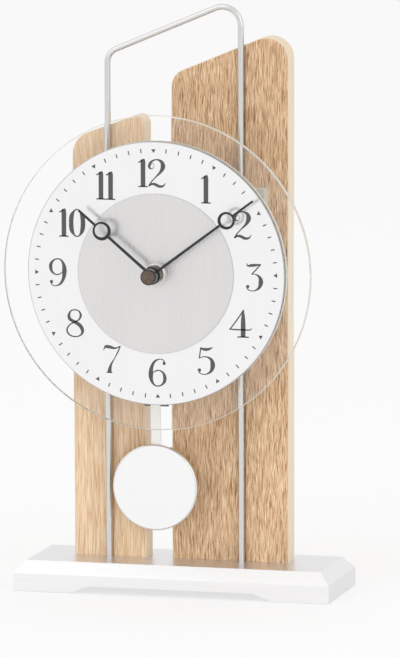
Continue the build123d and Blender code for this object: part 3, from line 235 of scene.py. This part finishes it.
copper = finish("copper_winding", (0.50, 0.20, 0.08), 0.9, 0.35, 0.25, (200, 200, 2500), 0.00006)
board = finish("board_green", (0.02, 0.11, 0.045), 0.0, 0.3, 0.2, (300, 300, 300), 0.00002, Coat_Weight=0.4)
dial_white = brushed("dial_silver", (0.90, 0.89, 0.895), 0.20, (500, 500, 40), 0.0, 0.6, 0.000001,
                     line=0.012, clouds=0.008)
dial_grey = brushed("dial_brushed", (0.745, 0.735, 0.73), 0.30, (1300, 1300, 16), 0.4, 0.85, 0.000006,
                    line=0.035, clouds=0.02)
nickel = finish("satin_nickel", (0.70, 0.69, 0.68), 0.9, 0.30, 0.04, (900, 900, 900), 0.000005)
# Painted shade: the rounded edges of the dial plate, the centre disc and the pendulum strip get this darker
# metal, which stands in for the shaded line along them
painted_shade_edge = finish("painted_shade_edge", (0.50, 0.49, 0.485), 0.7, 0.35, 0.04, (900, 900, 900), 0.000002)
soft_rim = finish("bob_rim", (0.66, 0.65, 0.64), 0.8, 0.35, 0.04, (900, 900, 900), 0.000002)
# Painted light: the sides of the dial plate and the backing get this paler colour, which stands in for light
# falling on them
dial_side_painted_light = finish("dial_side_painted_light", (0.90, 0.86, 0.79), 0.0, 0.5, 0.02, (500, 500, 500))
glass_edge = finish("glass_edge", (0.96, 0.96, 0.91), 0.0, 0.45, 0.04, (400, 400, 400), 0.00001,
                    Transmission_Weight=0.5, IOR=1.3)
hand_black = finish("hand_black", (0.014, 0.013, 0.014), 0.2, 0.34, 0.25, (1500, 1500, 1500), 0.00001,
                    Coat_Weight=0.25)
print_grey = finish("print_grey", (0.085, 0.083, 0.085), 0.0, 0.55, 0.18, (3000, 3000, 3000), 0.00001)
strip_metal = finish("strip_silver", (0.94, 0.93, 0.90), 0.7, 0.32, 0.03, (1500, 1500, 30), 0.00001)
bob_metal = finish("bob_satin", (0.94, 0.935, 0.935), 0.9, 0.14, 0.008, (900, 900, 900), 0.000001,
                   detail=4.0, rough_swing=0.01)
guard = finish("guard_black", (0.02, 0.02, 0.021), 0.3, 0.5, 0.2, (900, 900, 900), 0.00001)

clear, clear_tree, clear_shader = base_material("clear_glass", 0.0, 0.0, Transmission_Weight=1.0, IOR=1.5)
haze = stretched_noise(clear_tree, (30, 30, 30), 2.0)
link(clear_tree, ramp(clear_tree, haze, [(0.3, (0.985, 0.99, 0.985)), (0.7, (0.995, 0.998, 0.996))]),
     clear_shader.inputs["Base Color"])
link(clear_tree, spread(clear_tree, haze, 0.0, 0.012), clear_shader.inputs["Roughness"])
# The hands' boss: a bronze-coloured face inside a black rim
boss_bronze, boss_tree, boss_shader = base_material("boss_bronze", 0.75, 0.36)
boss_grain = stretched_noise(boss_tree, (1500, 1500, 1500), 4.0)
link(boss_tree, ramp(boss_tree, boss_grain, [(0.3, (0.07, 0.05, 0.04)), (0.7, (0.21, 0.16, 0.13))]),
     boss_shader.inputs["Base Color"])
bumped(boss_tree, boss_shader, boss_grain, 0.00003, 0.6)

LOOKS = {
    "base": plinth_silver, "felt_pads": felt, "panel_screws": zinc, "left_panel": oak_left,
    "right_panel": oak_right, "left_edge_band": cream_edge, "right_edge_band": cream_edge,
    "wire_frame": steel, "left_carrier": grey, "right_carrier": grey, "carrier_screws": zinc,
    "ear_screws": zinc, "front_shell": cream, "rear_shell": cream, "case_screws": zinc,
    "battery_lid": cream, "battery": battery_wrap, "battery_contacts": spring,
    "minute_arbor": brass, "centre_wheel": gear_white, "third_wheel": gear_white,
    "second_wheel": gear_white, "step_wheel": gear_white, "rotor": gear_white,
    "motion_wheel": gear_white, "set_knob": black, "hour_wheel": gear_white,
    "front_plate": plate_grey, "rear_plate": plate_grey, "stator": spring, "motor_coil": copper,
    "circuit_board": board, "drive_coil": copper, "dial_backing": cream, "glass_disc": clear,
    "dial_plate": dial_white, "dial_centre": dial_grey, "fixing_washer": nickel, "fixing_nut": nickel,
    "centre_bushing": brass, "hour_hand": hand_black, "minute_hand": hand_black,
    "hand_boss": hand_black, "pivot_pin": spring, "hanger": spring, "drive_magnet": spring,
    "pendulum_strip": strip_metal, "hanger_rivets": brass, "bob": bob_metal, "bob_clip": black,
    "pendulum_guard": guard, "guard_screws": zinc,
}
for node_name, look in LOOKS.items():
    mesh = nodes[node_name].data
    mesh.materials.clear()
    mesh.materials.append(look)


# Pieces
def body_of_node(node_name):
    for body, members in frame["record"]["behaviour"]["bodies"].items():
        if node_name in members:
            return body


def piece_from(mesh, name, look, body):
    """Puts a mesh in the scene as a piece that rides on a body."""
    mesh.materials.append(look)
    piece = bpy.data.objects.new(name, mesh)
    bpy.context.scene.collection.objects.link(piece)
    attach(piece, body)
    return piece


BEVEL_SEGMENTS = 2
SHARP_ANGLE = math.radians(35)
FLAT_ANGLE = math.radians(1)
SAME_PLACE = 1e-6


def softened(node_name, width, rim=None):
    """A copy of a CAD node with its sharp edges rounded, which takes the node's place. A rim is the look
    of the rounded edges where it differs from the piece's."""
    source = nodes[node_name]
    block = bmesh.new()
    block.from_mesh(source.data)
    bmesh.ops.remove_doubles(block, verts=block.verts, dist=SAME_PLACE)
    bmesh.ops.dissolve_limit(block, angle_limit=FLAT_ANGLE, verts=block.verts, edges=block.edges)
    mesh = bpy.data.meshes.new(node_name + "_soft")
    block.to_mesh(mesh)
    block.free()
    piece = piece_from(mesh, node_name + "_soft", source.data.materials[0], body_of_node(node_name))
    bevel = piece.modifiers.new("edges", "BEVEL")
    bevel.width = width
    bevel.segments = BEVEL_SEGMENTS
    bevel.limit_method = "ANGLE"
    bevel.angle_limit = SHARP_ANGLE
    bevel.harden_normals = False
    if rim:
        mesh.materials.append(rim)
        bevel.material = 1
    for face in mesh.polygons:
        face.use_smooth = True
    weighted = piece.modifiers.new("normals", "WEIGHTED_NORMAL")
    weighted.keep_sharp = True
    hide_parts(node_name)
    return piece


# Dial printing: numerals drawn with a broad nib, hour triangles and minute dashes
dial_low, dial_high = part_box("dial_plate")
DIAL_X = (dial_low.x + dial_high.x) / 2
DIAL_Z = (dial_low.z + dial_high.z) / 2
DIAL_Y = dial_low.y
INK = 0.03 * MM
PRINT_TURN = -0.9  # degrees
STEPS_PER_SPAN = 7
BALL_SIDES = 20
THINNEST = 0.004  # stroke, as a share of the height of its digit


def smooth_line(points):
    """A Catmull-Rom line through (x, y, width) points."""
    padded = [points[0]] + list(points) + [points[-1]]
    line = []
    for k in range(1, len(padded) - 2):
        a, b, c, d = (Vector(p) for p in padded[k - 1:k + 3])
        for step in range(STEPS_PER_SPAN):
            t = step / STEPS_PER_SPAN
            line.append(0.5 * (2 * b + (c - a) * t + (2 * a - 5 * b + 4 * c - d) * t * t
                               + (3 * b - a - 3 * c + d) * t * t * t))
    line.append(Vector(points[-1]))
    return line


def ribbon(points):
    """A stroke of varying width as one outline."""
    line = smooth_line(points)
    left, right = [], []
    for k, p in enumerate(line):
        ahead = line[min(k + 1, len(line) - 1)]
        behind = line[max(k - 1, 0)]
        way = Vector((ahead.x - behind.x, ahead.y - behind.y))
        if way.length < 1e-9:
            continue
        way.normalize()
        half = max(p.z, THINNEST) / 2
        left.append((p.x - way.y * half, p.y + way.x * half))
        right.append((p.x + way.y * half, p.y - way.x * half))
    return left, right


def ball(x, y, radius):
    return [(x + radius * math.cos(a), y + radius * math.sin(a))
            for a in (math.tau * k / BALL_SIDES for k in range(BALL_SIDES))]


# Each digit is one unit high: strokes of (x, y, width), and balls of (x, y, radius)
THICK, THIN = 0.168, 0.046
DIGITS = {
    "0": ([
        [(0.0, 0.5, THICK), (0.03, 0.76, THICK * 0.9), (0.13, 0.93, 0.06), (0.23, 0.975, THIN),
         (0.33, 0.93, 0.06), (0.43, 0.76, THICK * 0.9), (0.46, 0.5, THICK), (0.43, 0.24, THICK * 0.9),
         (0.33, 0.07, 0.06), (0.23, 0.025, THIN), (0.13, 0.07, 0.06), (0.03, 0.24, THICK * 0.9),
         (0.0, 0.5, THICK)],
    ], []),
    "1": ([
        [(0.12, 0.985, 0.1), (0.135, 0.9, THICK), (0.135, 0.5, THICK), (0.135, 0.02, THICK)],
        [(0.115, 0.965, 0.06), (0.06, 0.9, 0.045), (0.0, 0.865, THIN)],
        [(0.0, 0.016, THIN), (0.135, 0.022, 0.05), (0.27, 0.016, THIN)],
    ], []),
    "2": ([
        [(0.155, 0.725, 0.018), (0.105, 0.655, 0.03), (0.045, 0.675, 0.07), (0.03, 0.77, 0.1),
         (0.085, 0.9, 0.08), (0.22, 0.98, 0.045), (0.36, 0.91, 0.11), (0.405, 0.74, THICK),
         (0.34, 0.55, 0.1), (0.2, 0.36, 0.045), (0.09, 0.2, THIN), (0.01, 0.035, THIN)],
        [(0.155, 0.725, 0.018), (0.16, 0.8, 0.018), (0.115, 0.84, 0.016), (0.085, 0.8, 0.014)],
        [(0.015, 0.04, 0.03), (0.1, 0.115, 0.075), (0.19, 0.105, 0.1), (0.29, 0.045, 0.1),
         (0.39, 0.045, 0.075), (0.455, 0.12, 0.035), (0.475, 0.175, 0.012)],
    ], []),
    "3": ([
        [(0.045, 0.985, 0.03), (0.06, 0.9, 0.05), (0.16, 0.915, 0.1), (0.27, 0.93, 0.09),
         (0.4, 0.955, 0.03)],
        [(0.4, 0.965, THIN), (0.3, 0.8, THIN), (0.17, 0.605, THIN)],
        [(0.16, 0.6, 0.02), (0.27, 0.6, 0.035), (0.37, 0.51, 0.1), (0.405, 0.34, THICK),
         (0.36, 0.14, 0.1), (0.24, 0.028, 0.04), (0.12, 0.03, 0.035), (0.045, 0.1, 0.04)],
    ], [(0.065, 0.165, 0.062)]),
    "4": ([
        [(0.345, 0.985, 0.02), (0.345, 0.9, 0.05), (0.335, 0.8, 0.11), (0.335, 0.5, THICK),
         (0.335, 0.02, THICK)],
        [(0.345, 0.975, THIN), (0.21, 0.66, THIN), (0.03, 0.285, THIN)],
        [(0.0, 0.29, 0.022), (0.1, 0.275, 0.05), (0.3, 0.275, 0.05), (0.47, 0.275, 0.045),
         (0.525, 0.31, 0.03), (0.535, 0.35, 0.012)],
        [(0.2, 0.016, THIN), (0.335, 0.022, 0.05), (0.47, 0.016, THIN)],
    ], []),
    "5": ([
        [(0.105, 0.975, 0.02), (0.13, 0.925, 0.075), (0.22, 0.9, 0.105), (0.31, 0.92, 0.085),
         (0.41, 0.985, 0.02)],
        [(0.105, 0.97, THIN), (0.085, 0.8, THIN), (0.065, 0.575, THIN)],
        [(0.065, 0.575, 0.02), (0.15, 0.635, 0.035), (0.26, 0.635, 0.05), (0.37, 0.54, 0.11),
         (0.405, 0.34, THICK), (0.36, 0.14, 0.1), (0.24, 0.028, 0.04), (0.12, 0.03, 0.035),
         (0.045, 0.1, 0.04)],
    ], [(0.065, 0.165, 0.062)]),
    "6": ([
        [(0.415, 0.86, 0.04), (0.37, 0.955, 0.035), (0.27, 0.982, 0.035), (0.14, 0.9, 0.08),
         (0.055, 0.7, 0.12), (0.03, 0.45, THICK), (0.045, 0.24, 0.12), (0.12, 0.07, 0.06),
         (0.225, 0.025, THIN), (0.33, 0.075, 0.06), (0.405, 0.2, 0.11), (0.415, 0.34, 0.12),
         (0.375, 0.49, 0.08), (0.28, 0.575, THIN), (0.18, 0.57, THIN), (0.09, 0.49, 0.025)],
    ], [(0.395, 0.835, 0.058)]),
    "7": ([
        [(0.0, 0.8, 0.02), (0.03, 0.87, 0.04), (0.07, 0.935, 0.1), (0.17, 0.93, 0.115),
         (0.28, 0.895, 0.085), (0.37, 0.9, 0.05), (0.475, 0.975, 0.03)],
        [(0.475, 0.975, THIN), (0.4, 0.74, THIN), (0.31, 0.52, 0.035), (0.225, 0.33, 0.07),
         (0.185, 0.17, 0.115), (0.17, 0.02, THICK)],
        [(0.08, 0.016, 0.02), (0.17, 0.022, 0.04), (0.26, 0.016, 0.02)],
    ], []),
    "8": ([
        [(0.225, 0.545, 0.11), (0.1, 0.64, 0.115), (0.07, 0.78, 0.1), (0.12, 0.93, 0.05),
         (0.225, 0.978, THIN), (0.33, 0.93, 0.05), (0.375, 0.79, 0.085), (0.33, 0.64, 0.06),
         (0.225, 0.545, THIN), (0.09, 0.44, THIN), (0.02, 0.26, 0.06), (0.08, 0.09, 0.055),
         (0.225, 0.024, THIN), (0.37, 0.085, 0.055), (0.42, 0.24, 0.115), (0.36, 0.42, 0.135),
         (0.225, 0.545, 0.12)],
    ], []),
    "9": ([
        [(0.055, 0.14, 0.04), (0.1, 0.045, 0.035), (0.2, 0.018, 0.035), (0.33, 0.1, 0.08),
         (0.415, 0.3, 0.12), (0.44, 0.55, THICK), (0.425, 0.76, 0.12), (0.35, 0.93, 0.06),
         (0.245, 0.975, THIN), (0.14, 0.925, 0.06), (0.065, 0.8, 0.11), (0.055, 0.66, 0.12),
         (0.095, 0.51, 0.08), (0.19, 0.425, THIN), (0.29, 0.43, THIN), (0.38, 0.51, 0.025)],
    ], [(0.075, 0.165, 0.058)]),
}
DIGIT_HEIGHT = 17.4 * MM
NUMERAL_RADIUS = 61.2 * MM
NUMERAL_SHIFTS = {1: (1.9, -0.7), 2: (2.1, 0.0), 3: (1.1, -1.2), 4: (-0.2, 1.0), 5: (0.5, 0.0), 6: (0.0, 0.3),
                  7: (2.0, 0.0), 8: (1.5, -0.7), 9: (-0.7, 0.0), 10: (0.8, 0.0), 11: (0.0, 0.8),
                  12: (-1.2, 0.5)}  # mm
DIGIT_GAP = 0.02
KEPT_WIDTH = 0.1  # about one stroke, which spreading leaves as it is
DIGIT_WIDTHS = {"0": 0.60, "1": 0.33, "2": 0.64, "3": 0.64, "4": 0.79, "5": 0.65, "6": 0.67, "7": 0.63,
                "8": 0.65, "9": 0.66}
ink = bmesh.new()


def ink_face(corners):
    """One printed face from (x, z) offsets from the dial's axis."""
    ink.faces.new([ink.verts.new((DIAL_X + x, DIAL_Y - INK, DIAL_Z + z)) for x, z in corners])


def widened(digit):
    """A digit's strokes and balls, spread sideways to its printed width and set against its left side."""
    strokes, balls = DIGITS[digit]
    sides = [p[0] for stroke in strokes for edge in ribbon(stroke) for p in edge]
    sides += [bx + way * radius for bx, _, radius in balls for way in (-1, 1)]
    low, high = min(sides), max(sides)
    share = (DIGIT_WIDTHS[digit] - KEPT_WIDTH) / (high - low - KEPT_WIDTH)
    middle = (low + high) / 2
    move = DIGIT_WIDTHS[digit] / 2

    def across(x):
        return (x - middle) * share + move

    return ([[(across(x), y, w) for x, y, w in stroke] for stroke in strokes],
            [(across(x), y, r) for x, y, r in balls])


def printed_ribbon(points, place, size):
    left, right = ribbon(points)
    for k in range(len(left) - 1):
        ring = (left[k], right[k], right[k + 1], left[k + 1])
        ink_face([(place[0] + x * size, place[1] + y * size) for x, y in ring])


for hour in range(1, 13):
    angle = math.radians(30 * hour + PRINT_TURN)
    middle = (NUMERAL_RADIUS * math.sin(angle), NUMERAL_RADIUS * math.cos(angle))
    digits = str(hour)
    width = sum(DIGIT_WIDTHS[d] for d in digits) + DIGIT_GAP * (len(digits) - 1)
    x = middle[0] - width * DIGIT_HEIGHT / 2 + NUMERAL_SHIFTS[hour][0] * MM
    z = middle[1] - DIGIT_HEIGHT / 2 + NUMERAL_SHIFTS[hour][1] * MM
    for d in digits:
        strokes, balls = widened(d)
        for stroke in strokes:
            printed_ribbon(stroke, (x, z), DIGIT_HEIGHT)
        for bx, by, radius in balls:
            ink_face([(x + px * DIGIT_HEIGHT, z + pz * DIGIT_HEIGHT) for px, pz in ball(bx, by, radius)])
        x += (DIGIT_WIDTHS[d] + DIGIT_GAP) * DIGIT_HEIGHT

MARK_RADIUS = 75.5 * MM
TRIANGLE_TIP, TRIANGLE_BASE, TRIANGLE_HALF = 1.5 * MM, 0.825 * MM, 1.425 * MM
DASH_REACH, DASH_HALF = 1.25 * MM, 0.35 * MM
for minute in range(60):
    angle = math.radians(6 * minute + PRINT_TURN)
    out = Vector((math.sin(angle), math.cos(angle)))
    side = Vector((out.y, -out.x))
    if minute % 5 == 0:
        base, half = out * (MARK_RADIUS + TRIANGLE_BASE), side * TRIANGLE_HALF
        corners = (out * (MARK_RADIUS - TRIANGLE_TIP), base + half, base - half)
    else:
        inner, outer = out * (MARK_RADIUS - DASH_REACH), out * (MARK_RADIUS + DASH_REACH)
        half = side * DASH_HALF
        corners = (inner + half, outer + half, outer - half, inner - half)
    ink_face([tuple(c) for c in corners])
ink_mesh = bpy.data.meshes.new("dial_printing")
bmesh.ops.recalc_face_normals(ink, faces=ink.faces)
for face in ink.faces:
    if face.normal.y > 0:
        face.normal_flip()
ink.to_mesh(ink_mesh)
ink.free()
piece_from(ink_mesh, "dial_printing", print_grey, "frame")

# Softened edges: their width in mm and, where it differs, their look. The darker rim on the dial plate, the
# centre disc and the pendulum strip is painted shade along their edges
soft_pieces = {}
for node_name, width, rim in (
    ("base", 0.5, None), ("left_carrier", 0.3, None), ("right_carrier", 0.3, None),
    ("dial_backing", 0.3, None), ("dial_plate", 0.5, painted_shade_edge), ("dial_centre", 0.25, painted_shade_edge),
    ("bob", 0.25, soft_rim), ("pendulum_strip", 0.25, painted_shade_edge), ("fixing_nut", 0.12, None),
    ("fixing_washer", 0.1, None), ("hour_hand", 0.1, None), ("minute_hand", 0.1, None),
    ("front_shell", 0.3, None), ("battery_lid", 0.15, None),
):
    soft_pieces[node_name] = softened(node_name, width * MM, rim)


def second_look(piece, look, wanted):
    """Gives the faces that the test picks, by middle and normal, a second material."""
    slot = len(piece.data.materials)
    piece.data.materials.append(look)
    for face in piece.data.polygons:
        if wanted(face.center, face.normal):
            face.material_index = slot


# The bronze face of the hands' boss, the sides of the dial plate and backing painted paler than their faces
# (painted light on them) and the ground rim of the glass
for node_name in ("dial_plate", "dial_backing"):
    second_look(soft_pieces[node_name], dial_side_painted_light, lambda middle, way: abs(way.y) < 0.9)
second_look(softened("hand_boss", 0.6 * MM, hand_black), boss_bronze, lambda middle, way: way.y < -0.9)
glass = softened("glass_disc", 0.05 * MM)
# A hair of air on both faces of the glass, so that it doesn't share them with the plate and the backing
GLASS_AIR = 0.02 * MM
glass_middle = sum(vertex.co.y for vertex in glass.data.vertices) / len(glass.data.vertices)
for vertex in glass.data.vertices:
    vertex.co.y -= math.copysign(GLASS_AIR, vertex.co.y - glass_middle)
GLASS_HOLE_REACH = 50 * MM


def on_outer_rim(middle, way):
    return abs(way.y) < 0.9 and Vector((middle.x - DIAL_X, middle.z - DIAL_Z)).length > GLASS_HOLE_REACH


second_look(glass, glass_edge, on_outer_rim)

# Studio: a white floor and a white world. What the camera, metal and glass see of them is nearer to plain
# white than the light that they cast on the object.
FLOOR_SIZE, FLOOR_BACK = 24, 4
FLOOR_WHITE = (0.98, 0.98, 0.98, 1)
FLOOR_GLOW = 0.5  # the share of plain white in what is seen, the rest keeps the object's shadow
AMBIENT = 0.90
WHITE = (1, 1, 1, 1)


def looked_at(tree):
    """1 for a ray of the camera, of gloss or of transmission, and 0 for scattered light."""
    rays = add_node(tree, "LightPath")
    found = rays.outputs["Is Camera Ray"]
    for kind in ("Is Glossy Ray", "Is Transmission Ray"):
        either = add_node(tree, "Math", operation="MAXIMUM")
        link(tree, found, either.inputs[0])
        link(tree, rays.outputs[kind], either.inputs[1])
        found = either.outputs[0]
    return found


def blended(tree, share, scattered, seen, output):
    """Ends a tree in a mix of its scattered and its seen shader."""
    mixed = add_node(tree, "MixShader")
    link(tree, share, mixed.inputs[0])
    link(tree, scattered.outputs[0], mixed.inputs[1])
    link(tree, seen.outputs[0], mixed.inputs[2])
    link(tree, mixed.outputs[0], add_node(tree, output).inputs["Surface"])


bpy.ops.mesh.primitive_grid_add(x_subdivisions=4, y_subdivisions=4, size=FLOOR_SIZE,
                                location=(0, FLOOR_BACK, 0))
floor = bpy.context.object
floor.name = "studio_floor"
floor_material = bpy.data.materials.new("studio_floor")
floor_material.use_nodes = True
floor_tree = floor_material.node_tree
floor_tree.nodes.clear()
diffuse = add_node(floor_tree, "BsdfDiffuse", Color=FLOOR_WHITE)
glow = add_node(floor_tree, "Emission", Color=WHITE, Strength=1.0)
share = add_node(floor_tree, "Math", operation="MULTIPLY")
link(floor_tree, looked_at(floor_tree), share.inputs[0])
share.inputs[1].default_value = FLOOR_GLOW
blended(floor_tree, share.outputs[0], diffuse, glow, "OutputMaterial")
floor.data.materials.append(floor_material)

world = bpy.data.worlds.new("studio")
bpy.context.scene.world = world
world.use_nodes = True
world_tree = world.node_tree
world_tree.nodes.clear()
backdrop = add_node(world_tree, "Background", Color=WHITE, Strength=1.0)
ambient = add_node(world_tree, "Background", Color=WHITE, Strength=AMBIENT)
blended(world_tree, looked_at(world_tree), ambient, backdrop, "OutputWorld")


def area_light(name, place, target, size, power):
    lamp = bpy.data.lights.new(name, "AREA")
    lamp.shape = "RECTANGLE"
    lamp.size, lamp.size_y = size
    lamp.energy = power
    holder = bpy.data.objects.new(name, lamp)
    holder.location = place
    way = Vector(target) - Vector(place)
    holder.rotation_euler = way.to_track_quat("-Z", "Y").to_euler()
    bpy.context.scene.collection.objects.link(holder)


OBJECT_MIDDLE = (0, 0, 0.15)
area_light("key", (-1.1, -1.5, 1.5), OBJECT_MIDDLE, (2.4, 2.4), 7)
area_light("fill", (1.6, -1.2, 0.9), OBJECT_MIDDLE, (1.4, 1.6), 4)

# Camera
FOCAL_LENGTH = 387.55
CAMERA_SHIFT = (-0.00123, 0.00336)
CAMERA_PLACE = (1.10493, -4.16185, 0.76371)
CAMERA_WAY = (-0.25077, 0.95809, -0.13848)
CAMERA_ROLL = math.radians(-0.12)
camera_data = bpy.data.cameras.new("camera")
camera_data.sensor_fit = "VERTICAL"
camera_data.sensor_height = 36
camera_data.lens = FOCAL_LENGTH
camera_data.shift_x, camera_data.shift_y = CAMERA_SHIFT
camera_data.clip_end = 100
camera = bpy.data.objects.new("camera", camera_data)
bpy.context.scene.collection.objects.link(camera)
forward = Vector(CAMERA_WAY).normalized()
right = forward.cross(Vector((0, 0, 1))).normalized()
up = right.cross(forward)
turn = Matrix((right, up, -forward)).transposed().to_4x4()
camera.matrix_world = Matrix.Translation(CAMERA_PLACE) @ turn @ Matrix.Rotation(CAMERA_ROLL, 4, "Z")
bpy.context.scene.camera = camera
bpy.context.scene.view_settings.view_transform = "Standard"
